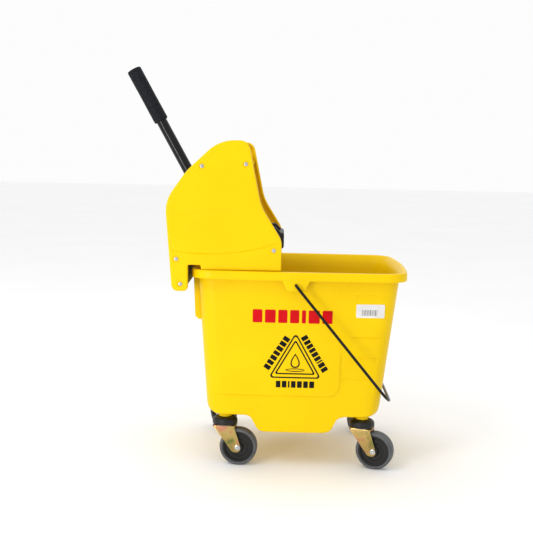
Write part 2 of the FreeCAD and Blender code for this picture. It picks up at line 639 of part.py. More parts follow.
# One moulding, handed over as three solids, so that collision follows its hollows.
nodes["bucket_floor"] = bucket.common(box(-400, 400, -300, 300, 0, WALL_LOW))
nodes["bucket_wall"] = bucket.common(box(-400, 400, -300, 300, WALL_LOW, WALL_HIGH))
nodes["bucket_rim"] = bucket.common(box(-400, 400, -300, 300, WALL_HIGH, 500))
nodes["bail_wire"] = make_bail()
make_caster("back_near", CASTER_BACK, -CASTER_Y, -5)
make_caster("front_near", CASTER_FRONT, -CASTER_Y, -20)
make_caster("back_far", CASTER_BACK, CASTER_Y, 130)
make_caster("front_far", CASTER_FRONT, CASTER_Y, 60)
cheek = make_cheek()
nodes["cheek_near"] = cheek
nodes["cheek_far"] = mirrored(cheek)
nodes["front_plate"] = make_front_plate()
nodes["back_cover"] = make_back_cover()
nodes["drain_grille"] = make_drain_grille()
nodes["hook_rail"] = make_hook_rail()
nodes["lift_handle"] = make_lift_handle()
nodes["tie_bar"] = make_tie_bar()
screws = make_screws()
nodes["screws_near"] = screws
nodes["screws_far"] = mirrored(screws)
make_lever()
make_press()
make_gears()
spring = make_return_spring()
nodes["return_spring_near"] = spring
nodes["return_spring_far"] = mirrored(spring)

os.makedirs("parts", exist_ok=True)
for name, shape in nodes.items():
    shape.exportStep(f"parts/{name}.step")
print(len(nodes), "nodes")
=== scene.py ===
# %% [markdown]
# # A mop bucket with a side-press wringer
#
# The design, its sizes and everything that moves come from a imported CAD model, which is loaded as a fixed
# frame. This lesson gives it its looks: it rebuilds the moulded shells with soft edges, turns the round
# parts, repeats screws and holes with Geometry Nodes, and gives every piece a finish made of shader
# nodes.

# %% Load the frame
import json
import math

import bmesh
import bpy
from mathutils import Matrix, Vector, noise
from mathutils.geometry import delaunay_2d_cdt


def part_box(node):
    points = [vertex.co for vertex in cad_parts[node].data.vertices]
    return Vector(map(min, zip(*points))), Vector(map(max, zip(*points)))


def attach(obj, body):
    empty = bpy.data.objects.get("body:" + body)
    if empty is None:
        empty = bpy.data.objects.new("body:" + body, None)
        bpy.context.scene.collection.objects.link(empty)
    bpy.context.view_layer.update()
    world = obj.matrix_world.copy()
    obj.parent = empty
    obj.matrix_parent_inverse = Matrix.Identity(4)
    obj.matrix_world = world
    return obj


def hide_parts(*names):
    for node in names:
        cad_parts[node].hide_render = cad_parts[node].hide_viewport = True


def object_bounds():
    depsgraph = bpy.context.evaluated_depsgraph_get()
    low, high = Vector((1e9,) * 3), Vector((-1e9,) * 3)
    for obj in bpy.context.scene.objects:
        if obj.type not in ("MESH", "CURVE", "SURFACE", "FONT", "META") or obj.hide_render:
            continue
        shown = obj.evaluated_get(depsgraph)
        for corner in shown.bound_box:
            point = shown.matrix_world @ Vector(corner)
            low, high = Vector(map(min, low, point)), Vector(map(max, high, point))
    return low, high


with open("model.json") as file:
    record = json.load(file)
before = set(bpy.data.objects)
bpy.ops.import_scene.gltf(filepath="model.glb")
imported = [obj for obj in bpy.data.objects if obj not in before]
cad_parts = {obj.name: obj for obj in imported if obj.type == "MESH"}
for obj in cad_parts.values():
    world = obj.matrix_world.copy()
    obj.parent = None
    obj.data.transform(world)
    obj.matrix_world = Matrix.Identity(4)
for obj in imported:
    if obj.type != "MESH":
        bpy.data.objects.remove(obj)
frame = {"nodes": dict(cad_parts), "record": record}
cad_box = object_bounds()
JOINTS = {joint["name"]: joint for joint in frame["record"]["behaviour"]["joints"]}

# %% [markdown]
# ## Floor, light and camera
#
# The object stands on a plain pale floor under soft light: one wide lamp high on the left, a weaker one
# above, a narrow strip low on the left that draws a thin light line along the lever's tube, and a white
# world that fills the shadows. The camera looks at the long side from just above the rim, with a lens
# long enough to keep the upright lines nearly parallel.

# %% Stage
MM = 0.001
scene = bpy.context.scene
scene.view_settings.view_transform = "Standard"


def soft_lamp(name, place, target, size, power, height=None):
    """Area lamp that faces a target: a square, or a strip if it gets a height."""
    lamp = bpy.data.lights.new(name, "AREA")
    lamp.size = size
    if height:
        lamp.shape = "RECTANGLE"
        lamp.size_y = height
    lamp.energy = power
    holder = bpy.data.objects.new(name, lamp)
    holder.location = place
    holder.rotation_euler = (Vector(target) - Vector(place)).to_track_quat("-Z", "Y").to_euler()
    scene.collection.objects.link(holder)


middle = (cad_box[0] + cad_box[1]) / 2
soft_lamp("key_lamp", (-1.5, -1.5, 2.6), middle, 0.9, 16)
soft_lamp("top_lamp", (-0.3, 0.4, 2.6), middle, 1.2, 7)
soft_lamp("strip_lamp", (-1.0, -1.6, 0.35), middle, 0.25, 9, 0.7)

world = bpy.data.worlds.new("studio")
world.use_nodes = True
world.node_tree.nodes["Background"].inputs["Color"].default_value = (1, 1, 1, 1)
world.node_tree.nodes["Background"].inputs["Strength"].default_value = 0.98
scene.world = world

CAMERA_PLACE = (0.0352, -1.992, 0.6318)
CAMERA_PITCH, CAMERA_YAW, CAMERA_ROLL = 6.817, 0.874, 1.165
camera = bpy.data.objects.new("camera", bpy.data.cameras.new("camera"))
camera.data.lens = 63.8
camera.data.sensor_width = 36
yaw = Matrix.Rotation(math.radians(CAMERA_YAW), 4, "Z")
pitch = Matrix.Rotation(math.radians(90 - CAMERA_PITCH), 4, "X")
roll = Matrix.Rotation(math.radians(CAMERA_ROLL), 4, "Z")
camera.matrix_world = Matrix.Translation(CAMERA_PLACE) @ yaw @ pitch @ roll
scene.collection.objects.link(camera)
scene.camera = camera
print("camera lens", camera.data.lens, "mm")

# %% [markdown]
# ## Finishes
#
# Every finish is a Principled shader fed by a few noise textures on Object coordinates. Moulded plastic
# has a fine skin, a slow waviness from shrinkage and small changes of gloss. Plated and painted steel get
# their own noise. One function wires them all, because they differ only in their numbers.

# %% Material builder


def finish(name, colours, roughness, grain, bump, metal=0.0, drift=18.0, shine=0.5, wave=0.0):
    """Procedural finish. colours run from low to high noise, grain is the fine texture's size in millimetres,
    bump its strength, drift the scale of the slow colour change, and wave the strength of a slow bump."""
    material = bpy.data.materials.new(name)
    material.use_nodes = True
    nodes, links = material.node_tree.nodes, material.node_tree.links
    shader = nodes["Principled BSDF"]
    shader.inputs["Metallic"].default_value = metal
    shader.inputs["Specular IOR Level"].default_value = shine

    where = nodes.new("ShaderNodeTexCoord")

    slow = nodes.new("ShaderNodeTexNoise")
    slow.inputs["Scale"].default_value = drift
    slow.inputs["Detail"].default_value = 4
    links.new(where.outputs["Object"], slow.inputs["Vector"])
    ramp = nodes.new("ShaderNodeValToRGB")
    ramp.color_ramp.elements.remove(ramp.color_ramp.elements[0])
    for i, colour in enumerate(colours):
        at = 0.32 + 0.36 * i / max(1, len(colours) - 1)
        stop = ramp.color_ramp.elements[0] if i == 0 else ramp.color_ramp.elements.new(at)
        stop.position = at
        stop.color = (*colour, 1)
    links.new(slow.outputs["Fac"], ramp.inputs["Fac"])
    links.new(ramp.outputs["Color"], shader.inputs["Base Color"])

    fine = nodes.new("ShaderNodeTexNoise")
    fine.inputs["Scale"].default_value = 1000 / grain
    fine.inputs["Detail"].default_value = 3
    links.new(where.outputs["Object"], fine.inputs["Vector"])
    gloss = nodes.new("ShaderNodeMapRange")
    gloss.inputs["To Min"].default_value = roughness * 0.85
    gloss.inputs["To Max"].default_value = roughness * 1.15
    links.new(slow.outputs["Fac"], gloss.inputs["Value"])
    links.new(gloss.outputs["Result"], shader.inputs["Roughness"])

    relief = nodes.new("ShaderNodeBump")
    relief.inputs["Strength"].default_value = bump
    relief.inputs["Distance"].default_value = grain * MM
    links.new(fine.outputs["Fac"], relief.inputs["Height"])
    links.new(relief.outputs["Normal"], shader.inputs["Normal"])
    if wave:
        swell = nodes.new("ShaderNodeBump")
        swell.inputs["Strength"].default_value = wave
        swell.inputs["Distance"].default_value = 0.004
        links.new(slow.outputs["Fac"], swell.inputs["Height"])
        links.new(swell.outputs["Normal"], relief.inputs["Normal"])
    return material


# %% The finishes themselves


def greys(*levels):
    """Neutral colours of the given brightness."""
    return [(level, level, level) for level in levels]


yellow = finish("yellow_moulding", [(0.80, 0.525, 0.0006), (0.84, 0.56, 0.001)], 0.34, 0.9, 0.05,
                drift=9, shine=0.1, wave=0.12)
black = finish("black_nylon", greys(0.006, 0.012), 0.42, 0.6, 0.12, shine=0.3)
rubber = finish("grip_rubber", [(0.003, 0.004, 0.006), (0.012, 0.013, 0.017)], 0.6, 1.6, 0.35,
                drift=220, shine=0.14)
enamel = finish("black_enamel", greys(0.002, 0.004), 0.18, 2.0, 0.003, shine=0.25)
wire_coat = finish("wire_coating", greys(0.002, 0.006), 0.22, 1.2, 0.1, shine=0.2)
CHROMATE = [(0.18, 0.20, 0.06), (0.40, 0.29, 0.10), (0.46, 0.34, 0.12), (0.48, 0.20, 0.12),
            (0.36, 0.31, 0.12)]
chromate = finish("yellow_chromate", CHROMATE, 0.3, 0.8, 0.12, metal=1.0, drift=30)
steel = finish("bright_zinc", [(0.40, 0.41, 0.42), (0.58, 0.58, 0.58)], 0.28, 0.5, 0.12, metal=1.0, drift=60)
spring = finish("spring_steel", [(0.20, 0.20, 0.21), (0.33, 0.33, 0.34)], 0.34, 0.5, 0.1, metal=1.0, drift=80)
tyre_grey = finish("grey_tyre", [(0.070, 0.074, 0.080), (0.105, 0.108, 0.114)], 0.55, 0.9, 0.2,
                   drift=45, shine=0.3)
red_ink = finish("red_ink", [(0.52, 0.002, 0.005), (0.60, 0.003, 0.008)], 0.38, 0.8, 0.06,
                 drift=60, shine=0.1)
black_ink = finish("black_ink", [(0.004, 0.004, 0.004), (0.010, 0.009, 0.008)], 0.4, 0.8, 0.06,
                   drift=60, shine=0.1)
paper = finish("label_paper", [(0.64, 0.63, 0.62), (0.74, 0.73, 0.72)], 0.5, 0.7, 0.12, drift=40)
grey_ink = finish("grey_ink", [(0.16, 0.155, 0.15), (0.26, 0.25, 0.24)], 0.5, 0.7, 0.1, drift=60)
floor_paint = finish("floor_paint", greys(0.93, 0.95), 0.8, 3.0, 0.02, drift=2, shine=0.1)
print(len(bpy.data.materials), "finishes")

# %% Floor
bpy.ops.mesh.primitive_plane_add(size=24, location=(0, 4, 0))
floor = bpy.context.object
floor.name = "floor"
floor.data.materials.append(floor_paint)

# %% [markdown]
# ## Shared ways of making a mesh
#
# Most pieces here are one of four kinds: a flat plate with a rounded outline, a turned part, a bent wire,
# or a CAD part that only lacks its broken edges. Each kind gets one helper. Lengths are in millimetres
# until the mesh is written, so that they read like the drawing.

# %% From points to a piece


def build(name, parts, material, sharp_deg=38):
    """One mesh object from (points, faces) parts in millimetres, shaded smooth up to an edge angle."""
    points, faces = [], []
    for part_points, part_faces in parts:
        base = len(points)
        points += [Vector(p) * MM for p in part_points]
        faces += [[base + i for i in face] for face in part_faces]
    mesh = bpy.data.meshes.new(name)
    mesh.from_pydata(points, [], faces)
    soften(mesh, sharp_deg)
    mesh.materials.append(material)
    piece = bpy.data.objects.new(name, mesh)
    scene.collection.objects.link(piece)
    return piece


def soften(mesh, sharp_deg, weld=0.000002):
    """Weld, turn the faces outwards and shade smooth, except across edges sharper than the angle."""
    work = bmesh.new()
    work.from_mesh(mesh)
    bmesh.ops.remove_doubles(work, verts=work.verts, dist=weld)
    bmesh.ops.dissolve_degenerate(work, edges=work.edges, dist=weld / 2)
    bmesh.ops.recalc_face_normals(work, faces=work.faces)
    for face in work.faces:
        face.smooth = True
    for edge in work.edges:
        edge.smooth = len(edge.link_faces) == 2 and edge.calc_face_angle(0) < math.radians(sharp_deg)
    work.to_mesh(mesh)
    work.free()


def applied(piece):
    """Bake a piece's modifiers into a plain mesh."""
    shape = bpy.data.meshes.new_from_object(piece.evaluated_get(bpy.context.evaluated_depsgraph_get()))
    piece.modifiers.clear()
    piece.data = shape
    return piece


def settle(piece, body, slot, *nodes):
    """Put a finished piece on its body and hide the CAD nodes it stands for. The slot is not used."""
    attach(piece, body)
    if nodes:
        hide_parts(*nodes)
    print(piece.name, len(piece.data.polygons), "faces on", body)
    return piece


# %% Rounded outlines


def outline(corners, arc_steps=8):
    """Closed outline in XZ through (x, z, radius) corners; each corner gives the same number of points."""
    points = []
    for i, (x, z, radius) in enumerate(corners):
        here = Vector((x, z))
        backward = (Vector(corners[i - 1][:2]) - here).normalized()
        forward = (Vector(corners[(i + 1) % len(corners)][:2]) - here).normalized()
        half = backward.angle(forward) / 2
        if radius < 0.01 or half > 1.5707:
            points += [here.copy() for step in range(arc_steps + 1)]
            continue
        reach = radius / math.tan(half)
        heart = here + (backward + forward).normalized() * (radius / math.sin(half))
        start, end = here + backward * reach - heart, here + forward * reach - heart
        turn = start.angle_signed(end)
        for step in range(arc_steps + 1):
            angle = -turn * step / arc_steps
            points.append(heart + Matrix.Rotation(angle, 2) @ start)
    return points


def inset(corners, distance):
    """The same corners moved inwards, for an outline that runs anticlockwise or clockwise."""
    count = len(corners)
    area = sum(corners[i][0] * corners[(i + 1) % count][1] - corners[(i + 1) % count][0] * corners[i][1]
               for i in range(count))
    sign = 1 if area > 0 else -1
    moved = []
    for i, (x, z, radius) in enumerate(corners):
        here, last, following = Vector((x, z)), Vector(corners[i
                                                               - 1][:2]), Vector(corners[(i
                                                                                          + 1) % count][:2])
        into, away = (here - last).normalized(), (following - here).normalized()
        normal_in = Vector((-into.y, into.x)) * sign
        normal_out = Vector((-away.y, away.x)) * sign
        turn = into.cross(away) * sign
        share = 1 + normal_in.dot(normal_out)
        place = here + (normal_in + normal_out) * (distance / share)
        wanted = radius - distance if turn > 0 else radius + distance
        moved.append((place.x, place.y, max(wanted, 0.05) if radius > 0 else 0.0))
    return moved


def loop_faces(count, first, second):
    """Quads between two rings of points."""
    return [[first + i, first + (i + 1) % count, second + (i + 1) % count, second + i]
            for i in range(count)]


def plate(corners, y0, y1, edge=1.0, arc_steps=6, edge_steps=3):
    """Flat plate in XZ from y0 to y1 with rounded corners and rounded edges."""
    rings = []
    for i in range(edge_steps + 1):
        angle = math.pi / 2 * i / edge_steps
        rings.append((edge * (1 - math.sin(angle)), y0 + edge * (1 - math.cos(angle))))
    rings += [(d, y0 + y1 - y) for d, y in reversed(rings)]
    points, faces = [], []
    for distance, y in rings:
        points += [Vector((p.x, y, p.y)) for p in outline(inset(corners, distance), arc_steps)]
    count = len(points) // len(rings)
    for i in range(len(rings) - 1):
        faces += loop_faces(count, i * count, (i + 1) * count)
    faces += [list(range(count)), list(range(len(points) - count, len(points)))]
    return points, faces


def other_side(part):
    """A part mirrored to the far side."""
    points, faces = part
    return [Vector((p[0], -p[1], p[2])) for p in points], faces


# %% Turned parts and wires


def turned(profile, start, end, steps=48):
    """Turned part about the line from start to end. The profile holds (distance along it, radius) points."""
    start, end = Vector(start), Vector(end)
    spin = (end - start).to_track_quat("Z", "Y").to_matrix()
    points, faces = [], []
    for along, radius in profile:
        for i in range(steps):
            angle = 2 * math.pi * i / steps
            points.append(start + spin @ Vector((radius * math.cos(angle), radius * math.sin(angle),
                                                 along)))
    for i in range(len(profile) - 1):
        faces += loop_faces(steps, i * steps, (i + 1) * steps)
    if profile[0] != profile[-1]:
        faces += [list(range(steps)), list(range(len(points) - steps, len(points)))]
    return points, faces


def softened(profile, radius, steps=3):
    """Round off the inner corners of a turned profile."""
    result = [profile[0]]
    for before, here, after in zip(profile, profile[1:], profile[2:]):
        a, b, c = Vector(before), Vector(here), Vector(after)
        reach = min(radius, (a - b).length / 2.2, (c - b).length / 2.2)
        first, last = b + (a - b).normalized() * reach, b + (c - b).normalized() * reach
        for i in range(steps + 1):
            t = i / steps
            result.append(tuple(first * (1 - t) ** 2 + b * 2 * t * (1 - t) + last * t ** 2))
    return result + [profile[-1]]


def both_ends(half, length):
    """A turned profile that reads the same from either end."""
    return half + [(length - along, radius) for along, radius in reversed(half)]


def wire(path, radius, steps=14):
    """Round wire along a path of points, with closed ends."""
    path = [Vector(p) for p in path]
    points, faces = [], []
    normal = (path[1] - path[0]).orthogonal().normalized()
    for i, place in enumerate(path):
        ahead = (path[min(i + 1, len(path) - 1)] - path[max(i - 1, 0)]).normalized()
        normal = (normal - ahead * normal.dot(ahead)).normalized()
        side = ahead.cross(normal)
        for k in range(steps):
            angle = 2 * math.pi * k / steps
            points.append(place + (normal * math.cos(angle) + side * math.sin(angle)) * radius)
    for i in range(len(path) - 1):
        faces += loop_faces(steps, i * steps, (i + 1) * steps)
    faces += [list(range(steps)), list(range(len(points) - steps, len(points)))]
    return points, faces


# %% CAD parts with their edges broken


def edged(node, name, material, width, cutter=None):
    """A copy of a CAD node with its hard edges bevelled, in millimetres. A cutter bores holes first."""
    mesh = frame["nodes"][node].data.copy()
    work = bmesh.new()
    work.from_mesh(mesh)
    bmesh.ops.remove_doubles(work, verts=work.verts, dist=0.000004)
    bmesh.ops.dissolve_limit(work, angle_limit=math.radians(1), verts=work.verts, edges=work.edges)
    work.to_mesh(mesh)
    work.free()
    mesh.materials.clear()
    mesh.materials.append(material)
    mesh.name = name
    piece = bpy.data.objects.new(name, mesh)
    scene.collection.objects.link(piece)
    if cutter:
        bore = piece.modifiers.new("bore", "BOOLEAN")
        bore.operation = "DIFFERENCE"
        bore.solver = "EXACT"
        bore.object = cutter
        applied(piece)
        bpy.data.objects.remove(cutter)
    bevel = piece.modifiers.new("edges", "BEVEL")
    bevel.width = width * MM
    bevel.segments = 2
    bevel.limit_method = "ANGLE"
    bevel.angle_limit = math.radians(40)
    applied(piece)
    for polygon in piece.data.polygons:
        polygon.use_smooth = True
    piece.data.set_sharp_from_angle(angle=math.radians(32))
    return piece

# %% [markdown]
# ## The bucket
#
# A bucket of this kind is one injection moulding of polypropylene: four bowed walls that taper towards
# the floor, a sump that hangs below the middle, a turned-down rim, and towers that hold the caster stems.
# Subdividing a box would blur the sump and the step lines, so the shell is written as rings instead.
# Every ring has the same columns, each ring follows one height of the wall, and the floor joins the two
# sides.

# %% Plan of the walls
RIM_TOP, RIM_LOW, RIM_SKIN, WALL, FLARE = 405.0, 388.0, 3.5, 3.2, 8.5
MOUTH = (-129.0, 278.5, 166.0)
FLOOR = (-109.0, 247.5, 144.0)
RIM = (-141.5, 292.5, 184.0)
FLOOR_Z, SUMP_Z = 108.5, 74.0
SIDE_BOW, BACK_BOW, FRONT_BOW = 6.0, 1.5, 13.0
WALL_CORNER, RIM_CORNER = 36.0, 45.0


def spaced(*stretches):
    """Places along a line: (start, end, step) stretches joined up."""
    places = []
    for start, end, step in stretches:
        count = max(1, round((end - start) / step))
        places += [start + (end - start) * i / count for i in range(count)]
    return places + [stretches[-1][1]]


SIDE_PLACES = spaced((-80, -34, 8), (-34, 10, 2.4), (10, 112, 8), (112, 192, 2.1), (192, 210, 6))
SIDE_SHARES = [(x + 80) / 290 for x in SIDE_PLACES]


def arc_radius(half_chord, rise):
    return (half_chord ** 2 + rise ** 2) / (2 * rise)


def circles_meet(centre_a, radius_a, centre_b, radius_b):
    """Meeting point, on the +Y side, of two circles."""
    between = centre_b - centre_a
    gap = between.length
    along = (radius_a ** 2 - radius_b ** 2 + gap ** 2) / (2 * gap)
    unit = between / gap
    side = Vector((-unit.y, unit.x))
    side = side if side.y > 0 else -side
    return centre_a + unit * along + side * math.sqrt(radius_a ** 2 - along ** 2)


def on_arc(centre, radius, start, end, share):
    """Point on the short arc about a centre, between two directions."""
    a, b = (start - centre).normalized(), (end - centre).normalized()
    turn = a.angle_signed(b)
    return centre + Matrix.Rotation(-turn * share, 2) @ a * radius


def plan(back, front, half_width, corner):
    """Closed ring of plan points with bowed sides and ends, starting at the middle of the front end."""
    middle = (back + front) / 2
    side_r = arc_radius((front - back) / 2, SIDE_BOW)
    side_heart = Vector((middle, half_width - side_r))
    ends = []
    for end, bow, sign in ((front, FRONT_BOW, 1), (back, BACK_BOW, -1)):
        end_r = arc_radius(half_width, bow)
        end_heart = Vector((end - sign * end_r, 0))
        heart = circles_meet(side_heart, side_r - corner, end_heart, end_r - corner)
        at_end = heart + (heart - end_heart).normalized() * corner
        at_side = heart + (heart - side_heart).normalized() * corner
        ends.append((end_heart, end_r, heart, at_end, at_side))
    (front_heart, front_r, heart_f, end_f, side_f), (back_heart, back_r, heart_b, end_b, side_b) = ends
    half = [on_arc(front_heart, front_r, Vector((front, 0)), end_f, i / 12) for i in range(12)]
    half += [on_arc(heart_f, corner, end_f, side_f, i / 10) for i in range(10)]
    half += [on_arc(side_heart, side_r, side_f, side_b, 1 - share) for share in reversed(SIDE_SHARES)]
    half += [on_arc(heart_b, corner, side_b, end_b, i / 10) for i in range(1, 10)]
    half += [on_arc(back_heart, back_r, end_b, Vector((back, 0)), i / 12) for i in range(13)]
    return half + [Vector((p.x, -p.y)) for p in half[-2:0:-1]]


def wall_plan(z, inset=0.0):
    """Ring of the tapering wall at a height, set in by inset."""
    t = (z - FLOOR_Z) / (RIM_LOW - FLOOR_Z)
    back, front, half_width = (low + (high - low) * t for low, high in zip(FLOOR, MOUTH))
    return plan(back + inset, front - inset, half_width - inset, WALL_CORNER - inset)


ring_size = len(wall_plan(200))
print("columns in a ring:", ring_size)

# %% Underside of the bucket seen from the side


def share_of(low, high, value):
    """How far a value has come from low to high, from 0 to 1."""
    return min(1.0, max(0.0, (value - low) / (high - low)))


def smooth(low, high, value):
    """Soft step from 0 at low to 1 at high."""
    t = share_of(low, high, value)
    return t * t * (3 - 2 * t)


def underside(x, lift=0.0):
    """Height of the floor's underside at x: the sump joins the floor with a soft S at each end."""
    back = (smooth(-32, 10, x) + smooth(-22, -2, x)) / 2
    front = (smooth(126, 172, x) + smooth(141, 157, x)) / 2
    return FLOOR_Z - (FLOOR_Z - SUMP_Z) * back * (1 - front) + lift


# %% Step lines and the large side panel
STEP_LINES = ((360.0, 187.0), (274.5, 179.0), (232.5, 176.0), (188.5, 164.0))
PANEL_FRONT, PANEL_LOW, PANEL_CORNER = 158.0, 151.0, 24.0


def side_relief(x, z):
    """How far the side wall is set back: the panel stands proud, and the front part has four step lines."""
    dx, dz = PANEL_FRONT - PANEL_CORNER - x, z - PANEL_LOW - PANEL_CORNER
    inside = PANEL_CORNER - math.hypot(min(0.0, dx), min(0.0, dz)) if dx < 0 or dz < 0 else PANEL_CORNER
    edge_depth = 2.2 * (1 - smooth(-1.6, 1.6, inside))
    if inside < 0 and dz > 0:
        edge_depth *= 1 - smooth(215, 290, z)
    step = 0.0
    for height, start in STEP_LINES:
        below = height - z
        if -1 < below < 16:
            depth = 1.9 * smooth(-0.9, 0.9, below) * (1 - smooth(2, 16, below))
            step = max(step, depth * smooth(-3, 3, x - start))
    return edge_depth + step


# %% Rings of the shell
BOTTOM_EDGE_SIDE, BOTTOM_EDGE_END = 4.0, 14.0
SIDE_SLOPE = (MOUTH[2] - FLOOR[2]) / (RIM_LOW - FLOOR_Z)


def edge_radius(normal):
    """Radius of the wall's lower edge: small along the sides, large at the ends."""
    return BOTTOM_EDGE_SIDE + (BOTTOM_EDGE_END - BOTTOM_EDGE_SIDE) * smooth(0.3, 0.95, abs(normal.x))


def lower_ring(inset, turn):
    """Ring on the rounded lower edge; turn goes from 0 at the wall to 1 at the floor."""
    base, inner = wall_plan(125, inset), wall_plan(125, inset + 1)
    ring = []
    for here, within in zip(base, inner):
        normal = (here - within).normalized()
        radius = max(1.5, edge_radius(normal) - inset)
        low = underside(here.x, inset)
        height = low + radius * (1 - math.sin(turn * math.pi / 2))
        place = here - normal * (radius * (1 - math.cos(turn * math.pi / 2)) + (125 - low) * SIDE_SLOPE)
        ring.append(Vector((place.x, place.y, height)))
    return ring


def wall_ring(z, inset=0.0, relief=False):
    ring = []
    for here, within in zip(wall_plan(z, inset), wall_plan(z, inset + 1)):
        normal = (here - within).normalized()
        if relief and abs(normal.y) > 0.9:
            here = here - normal * side_relief(here.x, z)
        ring.append(Vector((here.x, here.y, z)))
    return ring


def flat_ring(sizes, inset, corner, z):
    back, front, half_width = sizes
    ring = plan(back + inset, front - inset, half_width - inset, corner - inset)
    return [Vector((p.x, p.y, z)) for p in ring]


def flare_ring(share, inset, z):
    """Ring where the wall opens out inside the rim; share goes from 0 at the wall to 1 at the top."""
    wider = FLARE * share
    sizes = MOUTH[0] - wider, MOUTH[1] + wider, MOUTH[2] + wider
    return flat_ring(sizes, inset, WALL_CORNER + 4 * share, z)


row_heights = spaced((128, 146, 6), (146, 156, 1.1), (156, 186, 3), (186, 190, 0.8), (190, 230, 6),
                     (230, 234, 0.8), (234, 272, 6), (272, 276, 0.8), (276, 357, 9), (357, 362, 0.8),
                     (362, 388, 5))
rings = [lower_ring(0, turn / 6) for turn in range(6, -1, -1)]
rings += [wall_ring(z, 0, True) for z in row_heights]
rings += [flare_ring(t, 0, RIM_LOW + 13.5 * t) for t in (0.35, 0.7, 1.0)]
for depth, z in ((RIM_SKIN + 1.2, 401.5), (RIM_SKIN + 0.3, 401.2), (RIM_SKIN, 400.3), (RIM_SKIN, 389.2),
                 (3.2, 388.3), (2.4, 388), (1.1, 388), (0.35, 388.4), (0, 389.2), (0, 394), (0, 401.8),
                 (0.4, 403.4), (1.3, 404.5), (2.8, 405), (4.4, 405)):
    rings.append(flat_ring(RIM, depth, RIM_CORNER, z))
for depth, z in ((-1.2, 405), (0.3, 404.8), (1.6, 404.1), (2.6, 402.9)):
    rings.append(flare_ring(1, depth, z))
rings += [flare_ring(t, WALL, RIM_LOW + 17 * t) for t in (0.65, 0.3)]
rings += [wall_ring(z, WALL) for z in (388, 375, 340, 300, 250, 200, 160, 140, 128)]
rings += [lower_ring(WALL, turn / 5) for turn in range(6)]
print("rings:", len(rings))

# %% Shell from the rings
shell_points = [p for ring in rings for p in ring]
shell_faces = []
for i in range(len(rings) - 1):
    shell_faces += loop_faces(ring_size, i * ring_size, (i + 1) * ring_size)
for base in (0, (len(rings) - 1) * ring_size):
    for i in range(ring_size // 2):
        near, far = (ring_size - i) % ring_size, i
        quad = [base + far, base + far + 1, base + near - 1 if near else base + ring_size - 1, base + near]
        shell_faces.append(list(dict.fromkeys(quad)))

APRON_HALF = 118.0
APRON = [(-139, 391, 0), (-135, 304, 5), (-127.5, 298, 4), (-121, 298, 0), (-127.5, 391, 0)]
apron = plate(APRON, -APRON_HALF, APRON_HALF, 1.5)
ear_at = JOINTS["bail_swing"]["pos_m"][0] / MM
EAR = [(ear_at - 28, 391, 0), (ear_at - 17, 368, 7), (ear_at + 17, 368, 7), (ear_at + 28, 391, 0)]
ear = plate(EAR, 179.6, 183.6, 0.8)
ear_webs = [plate([(x - 1.5, 391, 0), (x - 1.5, 372, 1), (x + 1.5, 372, 1), (x + 1.5, 391, 0)], 164, 180, 0.5)
            for x in (ear_at - 15, ear_at + 15)]
caster_places = {name[len("swivel_"):]: Vector(joint["pos_m"]) / MM for name, joint in JOINTS.items()
                 if name.startswith("swivel_")}
TOWER = softened([(0, 5.6), (0, 13), (43, 12.4), (43, 2)], 1.5)
towers = [turned(TOWER, (p.x, p.y, 100), (p.x, p.y, 143), 32) for p in caster_places.values()]
bucket_parts = [(shell_points, shell_faces), apron, ear, other_side(ear)]
bucket_parts += ear_webs + [other_side(web) for web in ear_webs] + towers
bucket = build("bucket", bucket_parts, yellow, 34)
settle(bucket, "bucket", "yellow_plastic", "bucket_floor", "bucket_wall", "bucket_rim")

# %% [markdown]
# ## Printed marks and a blank label
#
# Such a bucket carries a printed warning and a stock label. Their words are left out: a row of plain red
# blocks, a generic triangle with a drop of water and rows of small black blocks keep the layout. Ink is a
# thin skin, so each mark is a flat shape filled with a fine grid and laid on the wall, a quarter of a
# millimetre proud of it.

# %% Laying a flat shape on the wall


def wall_y(x, z):
    """Distance of the side wall from the middle plane."""
    t = (z - FLOOR_Z) / (RIM_LOW - FLOOR_Z)
    back, front, half_width = (low + (high - low) * t for low, high in zip(FLOOR, MOUTH))
    sideways = (x - (back + front) / 2) / ((front - back) / 2)
    return half_width - SIDE_BOW * sideways * sideways - side_relief(x, z)


def filled(loops, pitch, extra=()):
    """Triangles that fill the area between closed XZ loops, with inner points on a grid."""
    points, edges = [], []
    for loop in loops:
        base = len(points)
        points += [Vector(p) for p in loop]
        edges += [(base + i, base + (i + 1) % len(loop)) for i in range(len(loop))]
    lows = [min(p[i] for p in loops[0]) for i in (0, 1)]
    highs = [max(p[i] for p in loops[0]) for i in (0, 1)]
    columns, rows = (int((highs[i] - lows[i]) / pitch) for i in (0, 1))
    inner = [Vector((lows[0] + (i + 0.5) * pitch, lows[1] + (k + 0.5) * pitch)) for i in range(columns)
             for k in range(rows)] + [Vector(p) for p in extra]
    keep = [p for p in inner if odd_crossings(p, loops) and clear_of(p, points, edges, pitch * 0.3)]
    out = delaunay_2d_cdt(points + keep, edges, [], 0, 0.0001)
    places, triangles = out[0], out[2]
    faces = [t for t in triangles if odd_crossings(sum((places[i] for i in t), Vector((0, 0))) / 3, loops)]
    return places, faces


def odd_crossings(point, loops):
    """True inside the outer loop and outside the holes."""
    inside = False
    for loop in loops:
        for i, a in enumerate(loop):
            b = loop[i - 1]
            if (a[1] > point.y) != (b[1] > point.y):
                inside ^= point.x < (b[0] - a[0]) * (point.y - a[1]) / (b[1] - a[1]) + a[0]
    return inside


def clear_of(point, points, edges, room):
    """True if a point keeps its distance from every edge of the loops."""
    for i, k in edges:
        along = points[k] - points[i]
        share = min(1, max(0, (point - points[i]).dot(along) / max(along.length_squared, 0.0001)))
        if (points[i] + along * share - point).length < room:
            return False
    return True


